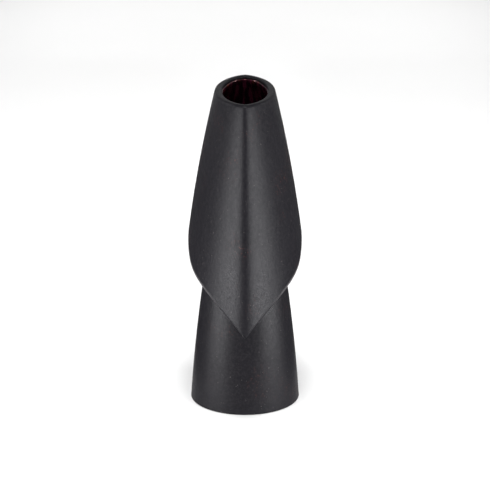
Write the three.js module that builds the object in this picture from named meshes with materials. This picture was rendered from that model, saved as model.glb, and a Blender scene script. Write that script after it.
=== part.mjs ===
// Free-standing ceramic vase: a deep, almond-shaped hood on a round conical foot.
// Millimetres, +Z up. The origin is the centre of the footprint on the table.
// The hood is narrow across X and deep along Y, with a rounded ridge at the front (-Y) and at the back.
import * as THREE from "three";

// Overall
const HEIGHT = 300;
const WALL = 7;
const FIT_GAP = 0.3;

// Foot: r = FOOT_RADIUS - FOOT_TAPER * h - FOOT_BULGE * h^2, with h in units of 100 mm
const FOOT_RADIUS = 51.8;
const FOOT_TAPER = 6.6;
const FOOT_BULGE = 3.4;
const FOOT_FLOOR = 9;
const FOOT_EDGE_CHAMFER = 0.6;
const FOOT_RING_WIDTH = 8;
const FOOT_RING_LIFT = 0.3;
const PAD_RECESS_TOP = 1.7;

// Neck joint: the foot's spigot stands in the hood's round neck, and its shoulder carries the hood's seat
const NECK_Z = 162;
const NECK_HEIGHT = 12;
const NECK_RADIUS = 28;
const SEAT_RADIUS = 36;
const SPIGOT_BORE = 22;
const BORE_BOTTOM_Z = 155;

// Hood: both half-sizes shrink towards the rim as a parabola whose widest level is PROFILE_WIDEST_Z.
// Each level is a superellipse, |x / half-width|^WIDTH_POWER + |y / half-depth|^DEPTH_POWER = 1,
// which is soft over the flanks and narrows to a ridge; the inside is a little rounder.
const PROFILE_WIDEST_Z = 10;
const HOOD_HALF_WIDTH = 63.1;
const HOOD_HALF_DEPTH = 110.3;
const RIM_HALF_WIDTH = 27.4;
const RIM_HALF_DEPTH = 66;
const OUTER_WIDTH_POWER = 1.34;
const OUTER_DEPTH_POWER = 2.42;
const INNER_WIDTH_POWER = 1.65;
const INNER_DEPTH_POWER = 2.2;
const DEPTH_INSET_RATIO = 1.15;
// The crease that the superellipse would leave along the ridge is rounded off over this share of the half-width
const RIDGE_ROUNDING = 0.03;
// The rim's edge is a half-round at 1, and a flat top with rounded corners below that
const RIM_ROUNDNESS = 0.6;

// Hem: the hood's lower edge falls from the flanks to the two ridge tips.
// Seen from the front it is a V whose arms turn upright close to the flanks.
const HEM_SIDE_Z = 163.7;
const HEM_TIP_Z = 96.6;
const HEM_ARM_SHARE = 0.745;
const HEM_ARM_POWER = 0.78;
const HEM_TURN_POWER = 15;
const HEM_LIP = 3;
const CAVITY_ABOVE_HEM = 7;
const CAVITY_EXTRA_AT_TIP = 9;

// Glaze coat on everything inside
const GLAZE_THICKNESS = 0.9;
const GLAZE_BELOW_RIM = 4;
const GLAZE_FLOOR_GAP = 0.8;

// Felt pads under the foot
const PAD_COUNT = 4;
const PAD_RADIUS = 7;
const PAD_RING_RADIUS = 33;

// Facets
const QUARTER_STEPS = 14;
const RING_POINTS = 4 * QUARTER_STEPS;
const FLANK_ROWS = 7;
const RIM_ROWS = 6;
const FLOOR_ROWS = 3;
const PAD_SEGMENTS = 24;

const object = new THREE.Group();

const MATT_BLACK = { color: 0x2b2a2d, roughness: 0.5, metalness: 0 };
const BURGUNDY_GLAZE = { color: 0x1a0a10, roughness: 0.12, metalness: 0 };
const GREY_FELT = { color: 0x55524e, roughness: 0.95, metalness: 0 };

function addPart(name, geometry, finish) {
  const part = new THREE.Mesh(geometry, new THREE.MeshStandardMaterial(finish));
  part.name = name;
  object.add(part);
  return part;
}

function mix(from, to, share) {
  return from + (to - from) * share;
}

// How far up the hood a height lies: 0 at the widest level, 1 at the rim
function riseShare(z) {
  return (z - PROFILE_WIDEST_Z) / (HEIGHT - PROFILE_WIDEST_Z);
}

// One point of a quarter of the hood's section at height z, drawn inset from the outside by `inset`.
// t runs from 0 on the flank (+X) to 1 on the ridge.
function sectionPoint(t, z, inset) {
  const rise = riseShare(z) ** 2;
  const halfWidth = mix(HOOD_HALF_WIDTH, RIM_HALF_WIDTH, rise) - inset;
  const halfDepth = mix(HOOD_HALF_DEPTH, RIM_HALF_DEPTH, rise) - DEPTH_INSET_RATIO * inset;
  const inward = Math.min(inset / WALL, 1);
  const widthPower = mix(OUTER_WIDTH_POWER, INNER_WIDTH_POWER, inward);
  const depthPower = mix(OUTER_DEPTH_POWER, INNER_DEPTH_POWER, inward);
  const rounding = RIDGE_ROUNDING * (1 - inward);
  const sharp = (1 - t ** depthPower) ** (1 / widthPower) * (Math.hypot(1, rounding) - rounding);
  return [halfWidth * Math.sqrt(sharp * (sharp + 2 * rounding)), halfDepth * t];
}

// The hem's height, from its place across the hood: `across` is 0 at the ridge and 1 at the flank
function hemHeight(t) {
  const across = (1 - t ** OUTER_DEPTH_POWER) ** (1 / OUTER_WIDTH_POWER);
  const rise = mix(across ** HEM_TURN_POWER, across ** HEM_ARM_POWER, HEM_ARM_SHARE);
  return mix(HEM_TIP_Z, HEM_SIDE_Z, rise);
}

// Steps along a quarter are closer together near the ridge
function stepShare(step) {
  const s = step / QUARTER_STEPS;
  return 1 - (1 - s) ** 2.2;
}

// A full ring from a function of (t, turn) that gives [x, y, z] for one quarter,
// where turn is the quarter's angle in radians from +X towards -Y
function ring(quarterPoint) {
  const points = [];
  for (let index = 0; index < RING_POINTS; index += 1) {
    const quarter = Math.floor(index / QUARTER_STEPS);
    const within = index % QUARTER_STEPS;
    const step = quarter % 2 === 0 ? within : QUARTER_STEPS - within;
    const [x, y, z] = quarterPoint(stepShare(step), (step / QUARTER_STEPS) * (Math.PI / 2));
    const signX = quarter === 1 || quarter === 2 ? -1 : 1;
    const signY = quarter < 2 ? -1 : 1;
    points.push([signX * x, signY * y, z]);
  }
  return points;
}

function hoodRing(inset, heightAt) {
  return ring((t) => {
    const z = heightAt(t);
    const [x, y] = sectionPoint(t, z, inset);
    return [x, y, z];
  });
}

function circleRing(radius, z) {
  return ring((t, turn) => [radius * Math.cos(turn), radius * Math.sin(turn), z]);
}

function blendRings(from, to, share) {
  return from.map((point, index) => point.map((value, axis) => mix(value, to[index][axis], share)));
}

// A skin through rings of equal length. The rings either close on themselves (closed = true)
// or end in two flat discs whose middles lie on the axis.
function ringSkin(rings, closed) {
  const positions = rings.flat(2);
  const triangles = [];
  const bands = closed ? rings.length : rings.length - 1;
  for (let band = 0; band < bands; band += 1) {
    const lower = band * RING_POINTS;
    const upper = ((band + 1) % rings.length) * RING_POINTS;
    for (let index = 0; index < RING_POINTS; index += 1) {
      const next = (index + 1) % RING_POINTS;
      triangles.push(lower + index, upper + index, lower + next);
      triangles.push(lower + next, upper + index, upper + next);
    }
  }
  if (!closed) {
    const last = rings.length - 1;
    const firstMiddle = rings.length * RING_POINTS;
    positions.push(0, 0, rings[0][0][2], 0, 0, rings[last][0][2]);
    for (let index = 0; index < RING_POINTS; index += 1) {
      const next = (index + 1) % RING_POINTS;
      triangles.push(firstMiddle, index, next);
      triangles.push(firstMiddle + 1, last * RING_POINTS + next, last * RING_POINTS + index);
    }
  }
  const geometry = new THREE.BufferGeometry();
  geometry.setAttribute("position", new THREE.Float32BufferAttribute(positions, 3));
  geometry.setIndex(triangles);
  geometry.computeVertexNormals();
  return geometry;
}

function cavityFloorHeight(t) {
  return hemHeight(t) + CAVITY_ABOVE_HEM + CAVITY_EXTRA_AT_TIP * t;
}

// Rings down the inside of the hood, inset from its outside, from `topZ` to the neck's upper edge.
// `lift` raises the cavity's floor.
function hoodCavityRings(inset, topZ, lift) {
  const rings = [];
  for (let row = 0; row < FLANK_ROWS; row += 1) {
    const share = row / (FLANK_ROWS - 1);
    rings.push(hoodRing(inset, (t) => mix(topZ, cavityFloorHeight(t) + lift, share)));
  }
  const wallFoot = rings.at(-1);
  const neck = circleRing(NECK_RADIUS, NECK_Z + NECK_HEIGHT + lift);
  for (let row = 1; row <= FLOOR_ROWS; row += 1) {
    rings.push(blendRings(wallFoot, neck, row / FLOOR_ROWS));
  }
  return rings;
}

function hoodShell() {
  const rings = [];
  // outside, from the hem up to the start of the rim's round edge
  for (let row = 0; row < FLANK_ROWS; row += 1) {
    const share = row / (FLANK_ROWS - 1);
    rings.push(hoodRing(0, (t) => mix(hemHeight(t), HEIGHT - WALL / 2, share)));
  }
  // over the rim
  for (let row = 1; row < RIM_ROWS; row += 1) {
    const angle = (Math.PI * row) / RIM_ROWS;
    const across = Math.sign(Math.cos(angle)) * Math.abs(Math.cos(angle)) ** RIM_ROUNDNESS;
    const z = HEIGHT - WALL / 2 + (WALL / 2) * Math.sin(angle) ** RIM_ROUNDNESS;
    rings.push(hoodRing((WALL / 2) * (1 - across), () => z));
  }
  rings.push(...hoodCavityRings(WALL, HEIGHT - WALL / 2, 0));
  // the flat seat on the foot's shoulder, then the underside out to one lip in from the hem
  rings.push(circleRing(NECK_RADIUS, NECK_Z));
  rings.push(circleRing(SEAT_RADIUS, NECK_Z));
  rings.push(hoodRing(HEM_LIP, (t) => hemHeight(t) + FIT_GAP));
  return ringSkin(rings, true);
}

function footRadius(z) {
  const h = z / 100;
  return FOOT_RADIUS - FOOT_TAPER * h - FOOT_BULGE * h * h;
}

// A curved stretch of a turned profile between two heights, inset from the foot's outside
function footWall(fromZ, toZ, inset) {
  const rows = 6;
  const points = [];
  for (let row = 0; row <= rows; row += 1) {
    const z = mix(fromZ, toZ, row / rows);
    points.push(new THREE.Vector2(footRadius(z) - inset, z));
  }
  return points;
}

function footCone() {
  const shoulderZ = NECK_Z - FIT_GAP;
  const ringInner = FOOT_RADIUS - FOOT_RING_WIDTH;
  const spigotTop = NECK_Z + NECK_HEIGHT;
  const profile = [
    new THREE.Vector2(0, PAD_RECESS_TOP),
    new THREE.Vector2(ringInner, PAD_RECESS_TOP),
    new THREE.Vector2(ringInner, FOOT_RING_LIFT),
    new THREE.Vector2(FOOT_RADIUS - FOOT_EDGE_CHAMFER, FOOT_RING_LIFT),
    ...footWall(FOOT_RING_LIFT + FOOT_EDGE_CHAMFER, shoulderZ, 0),
    new THREE.Vector2(NECK_RADIUS - FIT_GAP, shoulderZ),
    new THREE.Vector2(NECK_RADIUS - FIT_GAP, spigotTop),
    new THREE.Vector2(SPIGOT_BORE, spigotTop),
    new THREE.Vector2(SPIGOT_BORE, BORE_BOTTOM_Z),
    ...footWall(BORE_BOTTOM_Z - WALL, FOOT_FLOOR, WALL),
    new THREE.Vector2(0, FOOT_FLOOR),
  ];
  const geometry = new THREE.LatheGeometry(profile, RING_POINTS);
  geometry.rotateX(Math.PI / 2);
  return geometry;
}

// The coat as rings from the rim down to the foot's floor, at a distance `depth` inside the bare wall
function glazeRings(depth) {
  const lift = GLAZE_FLOOR_GAP + depth;
  const rings = hoodCavityRings(WALL + depth, HEIGHT - GLAZE_BELOW_RIM, lift);
  rings.push(circleRing(SPIGOT_BORE - depth, NECK_Z + NECK_HEIGHT + lift));
  rings.push(circleRing(SPIGOT_BORE - depth, BORE_BOTTOM_Z));
  for (const point of footWall(BORE_BOTTOM_Z - WALL, FOOT_FLOOR + depth, WALL + depth)) {
    rings.push(circleRing(point.x, point.y));
  }
  return rings;
}

function glazeLining() {
  const outside = glazeRings(FIT_GAP);
  const inside = glazeRings(FIT_GAP + GLAZE_THICKNESS);
  return ringSkin([...outside.reverse(), ...inside], false);
}

function feltPad() {
  const height = PAD_RECESS_TOP - FIT_GAP;
  const geometry = new THREE.CylinderGeometry(PAD_RADIUS, PAD_RADIUS, height, PAD_SEGMENTS);
  geometry.rotateX(Math.PI / 2);
  geometry.translate(0, 0, height / 2);
  return geometry;
}

addPart("hood_shell", hoodShell(), MATT_BLACK);
addPart("foot_cone", footCone(), MATT_BLACK);
addPart("glaze_lining", glazeLining(), BURGUNDY_GLAZE);

for (let index = 0; index < PAD_COUNT; index += 1) {
  const angle = (index + 0.5) * ((2 * Math.PI) / PAD_COUNT);
  const pad = addPart(`felt_pad_${index + 1}`, feltPad(), GREY_FELT);
  pad.position.set(PAD_RING_RADIUS * Math.cos(angle), PAD_RING_RADIUS * Math.sin(angle), 0);
}

export default object;
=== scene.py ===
"""The looks of a free-standing matte black ceramic vase: a deep, almond-shaped hood on a round conical foot.

Metres, +Z up, in the CAD frame. The hood is narrow across X and deep along Y, with its front ridge at -Y.
"""
import math

import bpy
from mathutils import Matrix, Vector, noise


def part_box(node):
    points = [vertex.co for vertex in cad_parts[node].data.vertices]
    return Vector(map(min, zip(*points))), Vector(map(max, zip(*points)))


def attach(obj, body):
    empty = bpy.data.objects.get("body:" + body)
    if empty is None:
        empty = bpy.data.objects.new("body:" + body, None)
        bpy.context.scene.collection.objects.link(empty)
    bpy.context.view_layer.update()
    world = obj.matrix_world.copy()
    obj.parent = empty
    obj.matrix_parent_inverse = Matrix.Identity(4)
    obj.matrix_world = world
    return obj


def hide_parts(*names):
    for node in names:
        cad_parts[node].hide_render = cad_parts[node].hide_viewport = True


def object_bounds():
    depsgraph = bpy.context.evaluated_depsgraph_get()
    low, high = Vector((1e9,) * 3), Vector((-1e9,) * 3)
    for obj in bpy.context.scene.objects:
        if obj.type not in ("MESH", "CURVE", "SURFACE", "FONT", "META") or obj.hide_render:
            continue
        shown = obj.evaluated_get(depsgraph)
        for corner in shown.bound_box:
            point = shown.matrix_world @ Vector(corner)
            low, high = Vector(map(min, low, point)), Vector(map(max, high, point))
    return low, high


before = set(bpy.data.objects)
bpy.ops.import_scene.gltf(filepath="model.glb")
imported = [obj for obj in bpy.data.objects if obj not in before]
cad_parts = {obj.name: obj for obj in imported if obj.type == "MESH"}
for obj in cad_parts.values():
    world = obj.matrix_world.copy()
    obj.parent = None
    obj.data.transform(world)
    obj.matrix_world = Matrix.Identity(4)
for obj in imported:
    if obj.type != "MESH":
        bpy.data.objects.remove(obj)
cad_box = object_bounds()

MM = 0.001

# ---------------------------------------------------------------- sizes, in millimetres
HEIGHT = 1000 * cad_box[1][2]
WALL = 7.0

# Foot: r = FOOT_RADIUS - FOOT_TAPER * h - FOOT_BULGE * h^2, with h in units of 100 mm
FOOT_RADIUS = 51.8
FOOT_TAPER = 6.6
FOOT_BULGE = 3.4
FOOT_FLOOR = 9.0
FOOT_RING_WIDTH = 8.0
FOOT_RING_LIFT = 0.3
FOOT_EDGE_RADIUS = 0.6
FOOT_INNER_EDGE_RADIUS = 0.7
PAD_RECESS_TOP = 1.7
PAD_RECESS_FLAT_INSET = 6.0
RECESS_CORNER_INSET = 0.1
RECESS_CORNER_DROP = 0.21
# The bare clay of the foot ring ends this far up and this far out on its outer edge.
BARE_CLAY_RISE = 0.35
BARE_CLAY_REACH = 0.5
# Turned shapes are closed at the axis by a flat disc of this radius.
CAP_RADIUS = 8.0

NECK_Z = 162.0
NECK_HEIGHT = 12.0
NECK_RADIUS = 28.0
SPIGOT_BORE = 22.0
BORE_BOTTOM_Z = 155.0
FIT_GAP = 0.3

# Hood: both half-sizes shrink towards the rim as a parabola whose widest level is PROFILE_WIDEST_Z.
# Each level is a superellipse, |x / half-width|^WIDTH_POWER + |y / half-depth|^DEPTH_POWER = 1.
PROFILE_WIDEST_Z = 10.0
HOOD_HALF_WIDTH = 63.1
HOOD_HALF_DEPTH = 110.3
RIM_HALF_WIDTH = 27.4
RIM_HALF_DEPTH = 66.0
OUTER_WIDTH_POWER = 1.34
OUTER_DEPTH_POWER = 2.42
INNER_WIDTH_POWER = 1.65
INNER_DEPTH_POWER = 2.2
DEPTH_INSET_RATIO = 1.15
# The crease that the superellipse would leave along the ridge is rounded off.
# The rounding is a share of the half-width.
RIDGE_ROUNDING = 0.03
# The rim's edge is a half-round at 1, and a flat top with rounded corners below that.
RIM_ROUNDNESS = 0.6

# Hem: the hood's lower edge falls from the flanks to the two ridge tips.
# Seen from the front it is a V whose arms turn upright close to the flanks.
HEM_SIDE_Z = 163.7
HEM_TIP_Z = 96.6
HEM_ARM_SHARE = 0.745
HEM_ARM_POWER = 0.78
HEM_TURN_POWER = 15
HEM_EDGE_RADIUS = 1.3
HEM_LIP = 4.0
HEM_LIP_LIFT = 0.4
VAULT_RISE = 3.0
CAVITY_ABOVE_HEM = 7.0
CAVITY_EXTRA_AT_TIP = 9.0
# A painted highlight lightens only the hem's upper arms: not at all at the first height, fully at the
# second.
EDGE_HIGHLIGHT_FROM_Z = 120.0
EDGE_HIGHLIGHT_FULL_Z = 155.0

# Joint between foot and hood: a flat seat, and a fillet of slip round it
LUTE_RADIUS = 3.0
LUTE_OVERLAP = 0.1
SEAT_LEDGE = 0.6
VAULT_START_RADIUS = 37.0

GLAZE_THICKNESS = 1.4
GLAZE_BELOW_RIM = 3.2
GLAZE_BEAD = 3.2
GLAZE_WAVE_HEIGHT = 0.4
GLAZE_WAVE_RATE = 9
GLAZE_WALL_GAP = 0.03
GLAZE_FLOOR_GAP = 0.8
# Going up, the glaze turns thin and rust red from the first depth below the rim to the second.
GLAZE_THIN_BELOW_RIM = 7.2
GLAZE_THINNEST_BELOW_RIM = 4.5

PAD_EDGE_RADIUS = 0.45
PAD_HOLE_SHARE = 0.4
PAD_UNEVENNESS = 0.012

# Mesh density
QUARTER_STEPS = 56
RING_POINTS = 4 * QUARTER_STEPS
FLANK_ROWS = 80
GLAZE_ROWS = 60
FOOT_ROWS = 60
VAULT_ROWS = 24
FLOOR_ROWS = 12
BORE_ROWS = 16
ARC_ROWS = 10
SMALL_ARC_ROWS = 4
PAD_ARC_ROWS = 5
BEAD_ARC_ROWS = 6
FOOT_EDGE_ROWS = 8
# Steps crowd towards the ridge by this power.
RIDGE_CROWDING = 2.2


# ---------------------------------------------------------------- camera and studio
CAMERA_ELEVATION = math.radians(22.2)
CAMERA_DISTANCE = 1.7584
FRAME_WIDTH_AT_BASE = 0.4735
BASE_BELOW_MIDDLE = 0.305
SENSOR_WIDTH = 36.0

LIT_HEIGHT = 0.15
SIDE_LIGHT_AZIMUTH = 62
GLINT_AZIMUTH = 115
FAR_PANEL_Z = 1.2
FAR_PANEL_Y = 1.5
WORLD_STRENGTH = 0.45

FLOOR_HALF_SIZE = 6.0
FLOOR_SHADE = 0.67
SHEET_VARIATION = 1.03
CARD_SHADE = 0.05
CARD_NEAR_X = 0.1
CARD_FAR_X = 1.2
CARD_FRONT_Y = -0.02
CARD_BACK_Y = 1.6
CARD_Z = 0.0005


def make_camera():
    data = bpy.data.cameras.new("camera")
    data.sensor_width = SENSOR_WIDTH
    data.lens = SENSOR_WIDTH * CAMERA_DISTANCE / FRAME_WIDTH_AT_BASE
    data.clip_end = 50
    camera = bpy.data.objects.new("camera", data)
    bpy.context.scene.collection.objects.link(camera)
    camera.location = (
        0,
        -CAMERA_DISTANCE * math.cos(CAMERA_ELEVATION),
        CAMERA_DISTANCE * math.sin(CAMERA_ELEVATION),
    )
    drop = math.atan(BASE_BELOW_MIDDLE * FRAME_WIDTH_AT_BASE / CAMERA_DISTANCE)
    camera.rotation_euler = (math.pi / 2 - CAMERA_ELEVATION + drop, 0, 0)
    bpy.context.scene.camera = camera


make_camera()


def area_light(name, azimuth, elevation, distance, width, height, power, spread=180):
    """A softbox that faces the vase and that the camera doesn't see; spread narrows its beam."""
    data = bpy.data.lights.new(name, "AREA")
    data.shape = "RECTANGLE"
    data.size = width
    data.size_y = height
    data.energy = power
    data.spread = math.radians(spread)
    light = bpy.data.objects.new(name, data)
    light.visible_camera = False
    bpy.context.scene.collection.objects.link(light)
    turn = math.radians(azimuth)
    rise = math.radians(elevation)
    target = Vector((0, 0, LIT_HEIGHT))
    light.location = target + distance * Vector((
        math.sin(turn) * math.cos(rise),
        -math.cos(turn) * math.cos(rise),
        math.sin(rise),
    ))
    light.rotation_euler = (target - light.location).to_track_quat("-Z", "Y").to_euler()
    return light


def make_studio():
    for side, turn in (("right", 1), ("left", -1)):
        beside = turn * SIDE_LIGHT_AZIMUTH
        area_light(f"softbox_{side}", beside, 4, 1.0, width=0.75, height=0.6, power=5.4, spread=90)
        area_light(f"low_strip_{side}", beside, -11, 0.65, width=0.5, height=0.1, power=1.2, spread=90)
        area_light(f"glint_{side}", turn * GLINT_AZIMUTH, 22, 1.2, width=0.12, height=0.16, power=1.3)
    area_light("front_top", 0, 66, 2.0, width=0.5, height=0.9, power=2.8, spread=40)
    area_light("rim_light", 180, 18, 2.5, width=0.7, height=1.0, power=0.6)
    # the far panel faces straight down and whitens the floor behind the vase
    far_distance = FAR_PANEL_Z - LIT_HEIGHT
    far = area_light("far_panel", 0, 90, far_distance, width=1.4, height=1.9, power=8, spread=40)
    far.location.y = FAR_PANEL_Y
    far.rotation_euler = (0, 0, 0)
    world = bpy.data.worlds.new("studio")
    bpy.context.scene.world = world
    world.use_nodes = True
    world.node_tree.nodes["Background"].inputs["Color"].default_value = (1, 1, 1, 1)
    world.node_tree.nodes["Background"].inputs["Strength"].default_value = WORLD_STRENGTH
    bpy.context.scene.view_settings.view_transform = "Standard"


make_studio()


# ---------------------------------------------------------------- material helpers
class Shader:
    """A Principled material with short calls for the nodes that vary it over the surface."""

    def __init__(self, name, roughness, **sockets):
        self.material = bpy.data.materials.new(name)
        self.material.use_nodes = True
        self.nodes = self.material.node_tree.nodes
        self.links = self.material.node_tree.links
        self.surface = self.nodes["Principled BSDF"]
        self.surface.inputs["Roughness"].default_value = roughness
        for socket, value in sockets.items():
            self.surface.inputs[socket.replace("_", " ")].default_value = value
        self.place = self.nodes.new("ShaderNodeTexCoord").outputs["Object"]

    def noise(self, scale, detail=3.0, roughness=0.5, stretch=None):
        """Noise over the surface; `stretch` scales the three axes apart."""
        place = self.place
        if stretch is not None:
            mapping = self.nodes.new("ShaderNodeMapping")
            mapping.inputs["Scale"].default_value = stretch
            self.links.new(place, mapping.inputs["Vector"])
            place = mapping.outputs["Vector"]
        node = self.nodes.new("ShaderNodeTexNoise")
        node.inputs["Scale"].default_value = scale
        node.inputs["Detail"].default_value = detail
        node.inputs["Roughness"].default_value = roughness
        self.links.new(place, node.inputs["Vector"])
        return node.outputs["Fac"]

    def height(self):
        node = self.nodes.new("ShaderNodeSeparateXYZ")
        self.links.new(self.place, node.inputs["Vector"])
        return node.outputs["Z"]

    def painted_edge_highlight(self):
        """How close the surface lies to the hem edge that carries a painted highlight, as the mesh says it.
        """
        node = self.nodes.new("ShaderNodeAttribute")
        node.attribute_name = "painted_edge_highlight"
        return node.outputs["Fac"]

    def times(self, first, second):
        node = self.nodes.new("ShaderNodeMath")
        node.operation = "MULTIPLY"
        self.links.new(first, node.inputs[0])
        self.links.new(second, node.inputs[1])
        return node.outputs["Value"]

    def spread(self, source, low, high, start=0.3, end=0.7):
        """Maps source from start..end to low..high, and holds it at the ends."""
        node = self.nodes.new("ShaderNodeMapRange")
        node.inputs["From Min"].default_value = start
        node.inputs["From Max"].default_value = end
        node.inputs["To Min"].default_value = low
        node.inputs["To Max"].default_value = high
        self.links.new(source, node.inputs["Value"])
        return node.outputs["Result"]

    def blend(self, factor, first, second):
        node = self.nodes.new("ShaderNodeMix")
        node.data_type = "RGBA"
        self.links.new(factor, node.inputs["Factor"])
        for socket, colour in (("A", first), ("B", second)):
            port = [i for i in node.inputs if i.name == socket and i.type == "RGBA"][0]
            if isinstance(colour, tuple):
                port.default_value = (*colour, 1)
            else:
                self.links.new(colour, port)
        return [o for o in node.outputs if o.type == "RGBA"][0]

    def bump(self, height, strength, distance, under=None):
        node = self.nodes.new("ShaderNodeBump")
        node.inputs["Strength"].default_value = strength
        node.inputs["Distance"].default_value = distance
        self.links.new(height, node.inputs["Height"])
        if under is not None:
            self.links.new(under, node.inputs["Normal"])
        return node.outputs["Normal"]

    def feed(self, source, socket):
        self.links.new(source, self.surface.inputs[socket])


def matte_ceramic():
    """Satin-matte black coat: mottled, with fine tooth, a few pale and rust-red specks, and a painted
    highlight along the hem's upper arms.
    """
    shader = Shader(
        "matte_black_ceramic", 0.42,
        Specular_IOR_Level=0.5, IOR=1.1, Specular_Tint=(3.6, 3.6, 3.7, 1),
    )
    patches = shader.spread(shader.noise(14, 2), 0, 1)
    colour = shader.blend(patches, (0.0033, 0.0031, 0.0042), (0.0052, 0.0049, 0.0063))
    mottle = shader.spread(shader.noise(420, 3, 0.65), 0, 1, 0.42, 0.72)
    colour = shader.blend(mottle, colour, (0.0095, 0.0088, 0.0103))
    pale_speck = shader.spread(shader.noise(620, 1), 0, 1, 0.735, 0.80)
    colour = shader.blend(pale_speck, colour, (0.055, 0.050, 0.049))
    rust_zone = shader.spread(shader.noise(24, 1), 0, 1, 0.58, 0.68)
    rust_speck = shader.times(rust_zone, shader.spread(shader.noise(520, 2), 0, 1, 0.6, 0.72))
    colour = shader.blend(rust_speck, colour, (0.030, 0.013, 0.012))
    # painted highlight: the hem's rounded edge on its upper arms is made pale to stand in for the light it
    # catches
    upper = shader.spread(shader.height(), 0, 1, MM * EDGE_HIGHLIGHT_FROM_Z, MM * EDGE_HIGHLIGHT_FULL_Z)
    upper_edge_highlight = shader.times(shader.painted_edge_highlight(), upper)
    colour = shader.blend(upper_edge_highlight, colour, (0.11, 0.105, 0.108))
    shader.feed(colour, "Base Color")
    shader.feed(shader.spread(shader.noise(300, 4, 0.6), 0.36, 0.48), "Roughness")
    tooth = shader.bump(shader.noise(2600, 3, 0.6), 0.25, 0.00007)
    skin = shader.bump(shader.noise(260, 4, 0.6), 0.5, 0.0003, tooth)
    shader.feed(skin, "Normal")
    return shader.material


def interior_glaze():
    """Glossy glaze, near black with wine-red runs, that breaks to rust red along its thin top edge."""
    shader = Shader("burgundy_glaze", 0.15, Specular_IOR_Level=0.6, Specular_Tint=(1, 0.35, 0.37, 1))
    runs = shader.spread(shader.noise(190, 2, stretch=(1, 1, 0.1)), 0, 1, 0.5, 0.6)
    colour = shader.blend(runs, (0.004, 0.0012, 0.0022), (0.035, 0.005, 0.013))
    thin_from = MM * (HEIGHT - GLAZE_THIN_BELOW_RIM)
    thin_full = MM * (HEIGHT - GLAZE_THINNEST_BELOW_RIM)
    top = shader.spread(shader.height(), 0, 1, thin_from, thin_full)
    thin = shader.times(top, shader.spread(shader.noise(75, 2), 0, 1, 0.56, 0.66))
    colour = shader.blend(thin, colour, (0.07, 0.015, 0.008))
    shader.feed(colour, "Base Color")
    shader.feed(shader.spread(shader.noise(90, 2), 0.12, 0.2), "Roughness")
    shader.feed(shader.bump(shader.noise(70, 2), 0.3, 0.0004), "Normal")
    return shader.material


def bare_clay():
    """Unglazed dark stoneware where the foot ring was wiped clean before firing."""
    shader = Shader("bare_stoneware", 0.85)
    grain = shader.spread(shader.noise(1400, 4, 0.7), 0, 1)
    shader.feed(shader.blend(grain, (0.05, 0.043, 0.038), (0.1, 0.088, 0.078)), "Base Color")
    shader.feed(shader.spread(shader.noise(500, 2), 0.78, 0.92), "Roughness")
    shader.feed(shader.bump(shader.noise(1500, 4, 0.7), 0.5, 0.0002), "Normal")
    return shader.material


def wool_felt():
    """Pressed grey wool: matted fibres in two tones with a soft sheen."""
    shader = Shader("wool_felt", 0.95, Sheen_Weight=0.5, Sheen_Roughness=0.5)
    fibres = shader.spread(shader.noise(1800, 6, 0.8), 0, 1)
    shader.feed(shader.blend(fibres, (0.055, 0.052, 0.048), (0.15, 0.143, 0.132)), "Base Color")
    shader.feed(shader.spread(shader.noise(700, 2), 0.88, 1.0), "Roughness")
    shader.feed(shader.bump(shader.noise(2200, 6, 0.8), 0.9, 0.0003), "Normal")
    return shader.material


# ---------------------------------------------------------------- shape of the body, in millimetres
def mix(start, end, share):
    return start + (end - start) * share


def rise_share(z):
    return (z - PROFILE_WIDEST_Z) / (HEIGHT - PROFILE_WIDEST_Z)


def section_point(t, z, inset):
    """(x, y) of a quarter of the hood's section at height z: t is 0 on the flank and 1 on the ridge."""
    rise = rise_share(z) ** 2
    half_width = mix(HOOD_HALF_WIDTH, RIM_HALF_WIDTH, rise) - inset
    half_depth = mix(HOOD_HALF_DEPTH, RIM_HALF_DEPTH, rise) - DEPTH_INSET_RATIO * inset
    inward = min(inset / WALL, 1)
    width_power = mix(OUTER_WIDTH_POWER, INNER_WIDTH_POWER, inward)
    depth_power = mix(OUTER_DEPTH_POWER, INNER_DEPTH_POWER, inward)
    rounding = RIDGE_ROUNDING * (1 - inward)
    sharp = (1 - t ** depth_power) ** (1 / width_power) * (math.hypot(1, rounding) - rounding)
    return half_width * math.sqrt(sharp * (sharp + 2 * rounding)), half_depth * t


def hem_height(t):
    """The hem's height, from its place across the hood: across is 0 at the ridge and 1 at the flank."""
    across = (1 - t ** OUTER_DEPTH_POWER) ** (1 / OUTER_WIDTH_POWER)
    rise = mix(across ** HEM_TURN_POWER, across ** HEM_ARM_POWER, HEM_ARM_SHARE)
    return mix(HEM_TIP_Z, HEM_SIDE_Z, rise)


def cavity_floor(t):
    return hem_height(t) + CAVITY_ABOVE_HEM + CAVITY_EXTRA_AT_TIP * t


def foot_radius(z):
    h = z / 100
    return FOOT_RADIUS - FOOT_TAPER * h - FOOT_BULGE * h * h


def step_share(step):
    """Steps along a quarter are closer together near the ridge."""
    return 1 - (1 - step / QUARTER_STEPS) ** RIDGE_CROWDING


QUARTER_T = [step_share(step) for step in range(QUARTER_STEPS + 1)]
QUARTER_TURN = [step / QUARTER_STEPS * math.pi / 2 for step in range(QUARTER_STEPS + 1)]


def ring(quarter_point):
    """A full ring from a function of (t, turn) that gives (x, y, z) on the quarter from +X towards -Y."""
    quarter = [quarter_point(t, turn) for t, turn in zip(QUARTER_T, QUARTER_TURN)]
    points = []
    for index in range(RING_POINTS):
        corner, within = divmod(index, QUARTER_STEPS)
        x, y, z = quarter[within if corner % 2 == 0 else QUARTER_STEPS - within]
        sign_x = -1 if corner in (1, 2) else 1
        sign_y = -1 if corner < 2 else 1
        points.append((sign_x * x, sign_y * y, z))
    return points


def hood_ring(inset, height_at):
    def point(t, turn):
        z = height_at(t)
        return (*section_point(t, z, inset), z)
    return ring(point)


def circle_ring(radius, z):
    return ring(lambda t, turn: (radius * math.cos(turn), radius * math.sin(turn), z))


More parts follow.
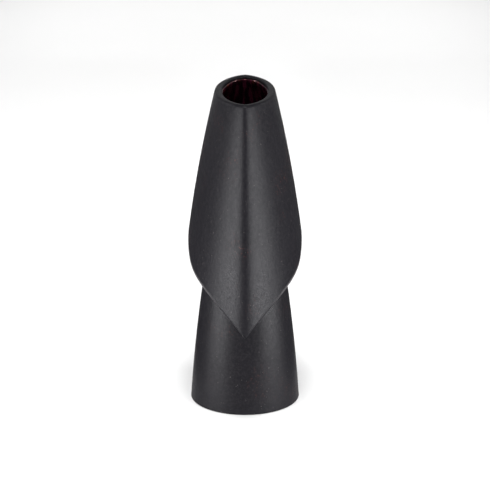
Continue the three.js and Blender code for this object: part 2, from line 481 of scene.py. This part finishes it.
def skin(name, rings, closed, materials, material_of=None, highlit_rings=()):
    """A mesh through rings. They close on themselves, or end on the axis at both ends."""
    points = [point for row in rings for point in row]
    faces = []
    bands = len(rings) if closed else len(rings) - 1
    for band in range(bands):
        low = band * RING_POINTS
        high = (band + 1) % len(rings) * RING_POINTS
        for index in range(RING_POINTS):
            after = (index + 1) % RING_POINTS
            faces.append((low + index, high + index, high + after, low + after))
    if not closed:
        start = len(points)
        last = (len(rings) - 1) * RING_POINTS
        points += [(0, 0, rings[0][0][2]), (0, 0, rings[-1][0][2])]
        for index in range(RING_POINTS):
            after = (index + 1) % RING_POINTS
            faces.append((start, index, after))
            faces.append((start + 1, last + after, last + index))
    mesh = bpy.data.meshes.new(name)
    mesh.from_pydata([(MM * x, MM * y, MM * z) for x, y, z in points], [], faces)
    for material in materials:
        mesh.materials.append(material)
    mesh.polygons.foreach_set("use_smooth", [True] * len(faces))
    if material_of is not None:
        for face in mesh.polygons:
            face.material_index = material_of(face)
    # the rings passed in get a painted highlight along the hem edge, not wear
    if highlit_rings:
        highlight_layer = mesh.attributes.new("painted_edge_highlight", "FLOAT", "POINT")
        share = [1.0 if index // RING_POINTS in highlit_rings else 0.0 for index in range(len(points))]
        highlight_layer.data.foreach_set("value", share)
    mesh.update()
    piece = bpy.data.objects.new(name, mesh)
    bpy.context.scene.collection.objects.link(piece)
    return piece


def settle(piece, slot, *nodes):
    """Hangs a piece on the root body and hides the CAD nodes it stands for. The slot, which would name its
    finish, is not used.
    """
    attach(piece, "root")
    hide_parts(*nodes)


# ---------------------------------------------------------------- hood
def quarter_arc(steps):
    return [math.pi / 2 * step / steps for step in range(steps + 1)]


def make_hood(matte):
    rings = []
    # round hem edge, from the underside's lip to the outside
    for angle in reversed(quarter_arc(ARC_ROWS // 2)):
        inset = HEM_EDGE_RADIUS * (1 - math.cos(angle))
        lift = HEM_EDGE_RADIUS * (1 - math.sin(angle))
        rings.append(hood_ring(inset, lambda t: hem_height(t) + lift))
    # these hem-edge rings carry the painted highlight
    highlit_hem_rings = set(range(len(rings)))
    # outside
    rim_start = HEIGHT - WALL / 2
    for row in range(1, FLANK_ROWS):
        share = row / FLANK_ROWS
        rings.append(hood_ring(0, lambda t: mix(hem_height(t) + HEM_EDGE_RADIUS, rim_start, share)))
    # over the rim
    for step in range(2 * ARC_ROWS + 1):
        angle = math.pi * step / (2 * ARC_ROWS)
        across = math.copysign(abs(math.cos(angle)) ** RIM_ROUNDNESS, math.cos(angle))
        z = rim_start + WALL / 2 * max(math.sin(angle), 0) ** RIM_ROUNDNESS
        rings.append(hood_ring(WALL / 2 * (1 - across), lambda t: z))
    # inside, then the cavity floor to the neck and down its bore
    for row in range(1, FLANK_ROWS // 2 + 1):
        share = row / (FLANK_ROWS // 2)
        rings.append(hood_ring(WALL, lambda t: mix(rim_start, cavity_floor(t), share)))
    rings.append(circle_ring(NECK_RADIUS, NECK_Z + NECK_HEIGHT))
    rings.append(circle_ring(NECK_RADIUS, NECK_Z))
    # flat seat, then a fillet of slip that seals the foot to the underside
    joint_radius = foot_radius(NECK_Z - LUTE_RADIUS) + LUTE_OVERLAP
    rings.append(circle_ring(joint_radius - SEAT_LEDGE, NECK_Z))
    for angle in quarter_arc(BEAD_ARC_ROWS):
        out = LUTE_RADIUS * (1 - math.cos(angle))
        drop = LUTE_RADIUS * (1 - math.sin(angle))
        rings.append(circle_ring(joint_radius + out, NECK_Z - drop))
    # vaulted underside out to the lip
    inner = circle_ring(VAULT_START_RADIUS, NECK_Z)
    lip = hood_ring(HEM_LIP, lambda t: hem_height(t) + HEM_LIP_LIFT)
    for row in range(VAULT_ROWS + 1):
        share = row / VAULT_ROWS
        vault = VAULT_RISE * math.sin(math.pi * share)
        band = []
        for start, end in zip(inner, lip):
            x, y, z = (mix(a, b, share) for a, b in zip(start, end))
            band.append((x, y, z + vault))
        rings.append(band)
    hood = skin("hood", rings, True, [matte], highlit_rings=highlit_hem_rings)
    settle(hood, "matte_ceramic", "hood_shell")


# ---------------------------------------------------------------- foot
def turned(name, profile, materials, material_of=None):
    """A turned shape through (radius, z) points that starts and ends near the axis."""
    return skin(name, [circle_ring(r, z) for r, z in profile], False, materials, material_of)


def make_foot(matte, bare):
    ring_inner = FOOT_RADIUS - FOOT_RING_WIDTH
    edge = FOOT_INNER_EDGE_RADIUS
    profile = [(CAP_RADIUS, PAD_RECESS_TOP), (ring_inner - PAD_RECESS_FLAT_INSET, PAD_RECESS_TOP)]
    # the recess curves down to the foot ring, whose inner edge is rounded
    for angle in quarter_arc(SMALL_ARC_ROWS):
        radius = ring_inner - edge * math.cos(angle) - RECESS_CORNER_INSET
        profile.append((radius, PAD_RECESS_TOP - RECESS_CORNER_DROP * (1 - math.cos(angle))))
    for angle in quarter_arc(SMALL_ARC_ROWS):
        radius = ring_inner + edge * (1 - math.cos(angle))
        profile.append((radius, FOOT_RING_LIFT + edge * (1 - math.sin(angle))))
    # flat of the ring, then the outer edge
    outer = foot_radius(0) - FOOT_EDGE_RADIUS
    profile.append((mix(ring_inner, outer, 0.5), FOOT_RING_LIFT))
    for angle in quarter_arc(FOOT_EDGE_ROWS):
        radius = outer + FOOT_EDGE_RADIUS * math.sin(angle)
        profile.append((radius, FOOT_RING_LIFT + FOOT_EDGE_RADIUS * (1 - math.cos(angle))))
    shoulder = NECK_Z - FIT_GAP
    start = FOOT_RING_LIFT + FOOT_EDGE_RADIUS
    for row in range(1, FOOT_ROWS + 1):
        z = mix(start, shoulder, row / FOOT_ROWS)
        profile.append((foot_radius(z), z))
    spigot_top = NECK_Z + NECK_HEIGHT
    profile += [(NECK_RADIUS - FIT_GAP, shoulder), (NECK_RADIUS - FIT_GAP, spigot_top)]
    profile += [(SPIGOT_BORE, spigot_top), (SPIGOT_BORE, BORE_BOTTOM_Z)]
    for row in range(FLOOR_ROWS + 1):
        z = mix(BORE_BOTTOM_Z - WALL, FOOT_FLOOR, row / FLOOR_ROWS)
        profile.append((foot_radius(z) - WALL, z))
    profile.append((CAP_RADIUS, FOOT_FLOOR))

    def material_of(face):
        radius = 1000 * math.hypot(face.center.x, face.center.y)
        low = 1000 * face.center.z < FOOT_RING_LIFT + BARE_CLAY_RISE
        return 1 if low and ring_inner < radius < outer + BARE_CLAY_REACH else 0

    foot = turned("foot", profile, [matte, bare], material_of)
    settle(foot, "matte_ceramic", "foot_cone")


# ---------------------------------------------------------------- glaze coat inside
def glaze_line(t):
    """The coat's top edge wanders a little round the mouth."""
    return HEIGHT - GLAZE_BELOW_RIM + GLAZE_WAVE_HEIGHT * math.sin(GLAZE_WAVE_RATE * t)


def glaze_rings(depth, top_drop):
    """The coat's rings at a depth from the wall, from its top edge down to the foot's floor."""
    lift = GLAZE_FLOOR_GAP + depth
    rings = []
    for row in range(GLAZE_ROWS + 1):
        share = row / GLAZE_ROWS
        rings.append(hood_ring(
            WALL + depth, lambda t: mix(glaze_line(t) - top_drop, cavity_floor(t) + lift, share)))
    outer = rings[-1]
    inner = circle_ring(NECK_RADIUS, NECK_Z + NECK_HEIGHT + lift)
    for row in range(1, FLOOR_ROWS + 1):
        share = row / FLOOR_ROWS
        band = []
        for start, end in zip(outer, inner):
            band.append(tuple(mix(a, b, share) for a, b in zip(start, end)))
        rings.append(band)
    rings.append(circle_ring(SPIGOT_BORE - depth, NECK_Z + NECK_HEIGHT + lift))
    rings.append(circle_ring(SPIGOT_BORE - depth, BORE_BOTTOM_Z))
    for row in range(BORE_ROWS + 1):
        z = mix(BORE_BOTTOM_Z - WALL, FOOT_FLOOR + depth, row / BORE_ROWS)
        rings.append(circle_ring(foot_radius(z) - WALL - depth, z))
    return rings


def make_glaze(glaze):
    outside = glaze_rings(GLAZE_WALL_GAP, 0)
    inside = glaze_rings(GLAZE_THICKNESS, GLAZE_BEAD)
    bead = []
    for angle in quarter_arc(BEAD_ARC_ROWS)[1:-1]:
        depth = mix(GLAZE_WALL_GAP, GLAZE_THICKNESS, math.sin(angle))
        drop = GLAZE_BEAD * (1 - math.cos(angle))
        bead.append(hood_ring(WALL + depth, lambda t: glaze_line(t) - drop))
    lining = skin("glaze_coat", outside[::-1] + bead + inside, False, [glaze])
    settle(lining, "interior_glaze", "glaze_lining")


# ---------------------------------------------------------------- felt pads
def make_pad(index, felt):
    """A pressed felt disc with soft, slightly uneven edges and a hole through its middle."""
    node = f"felt_pad_{index}"
    low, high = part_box(node)
    centre = (Vector(low) + Vector(high)) / 2
    radius = 1000 * (high[0] - low[0]) / 2
    height = 1000 * (high[2] - low[2])
    soft = PAD_EDGE_RADIUS
    flat = radius - soft
    hole = PAD_HOLE_SHARE * radius
    profile = [(hole, 0.0)]
    for angle in quarter_arc(PAD_ARC_ROWS):
        profile.append((flat + soft * math.sin(angle), soft * (1 - math.cos(angle))))
    for angle in quarter_arc(PAD_ARC_ROWS):
        profile.append((flat + soft * math.cos(angle), height - soft * (1 - math.sin(angle))))
    profile.append((hole, height))
    rings = []
    for r, z in profile:
        row = []
        for x, y, level in circle_ring(r, z):
            wander = 1 + PAD_UNEVENNESS * noise.noise(Vector((x * 1.6, y * 1.6, z * 2 + index * 7)))
            row.append((x * wander + 1000 * centre.x, y * wander + 1000 * centre.y, level + 1000 * low[2]))
        rings.append(row)
    pad = skin(f"felt_disc_{index}", rings, True, [felt])
    settle(pad, "felt", node)


# ---------------------------------------------------------------- floor and cards
def make_sheet(name, shade, left, right, front, back, z):
    """A plain level sheet of the studio, between two X and two Y."""
    shader = Shader(name, 0.9)
    paler = SHEET_VARIATION * shade
    shader.feed(shader.blend(shader.noise(3, 2), (shade,) * 3, (paler,) * 3), "Base Color")
    mesh = bpy.data.meshes.new(name)
    corners = [(left, front, z), (right, front, z), (right, back, z), (left, back, z)]
    mesh.from_pydata(corners, [], [(0, 1, 2, 3)])
    mesh.materials.append(shader.material)
    sheet = bpy.data.objects.new(name, mesh)
    bpy.context.scene.collection.objects.link(sheet)
    return sheet


def make_floor():
    size = FLOOR_HALF_SIZE
    make_sheet("floor", FLOOR_SHADE, -size, size, -size, size, 0)


def make_dark_cards():
    """Two cards behind the vase that only reflections show: they keep the floor's glare off its sides."""
    sides = (("card_right", CARD_NEAR_X, CARD_FAR_X), ("card_left", -CARD_FAR_X, -CARD_NEAR_X))
    for name, left, right in sides:
        card = make_sheet(name, CARD_SHADE, left, right, CARD_FRONT_Y, CARD_BACK_Y, CARD_Z)
        card.visible_camera = False
        card.visible_diffuse = False
        card.visible_shadow = False


matte_black = matte_ceramic()
make_hood(matte_black)
make_foot(matte_black, bare_clay())
make_glaze(interior_glaze())
felt_grey = wool_felt()
for pad_index in range(1, 5):
    make_pad(pad_index, felt_grey)
make_floor()
make_dark_cards()
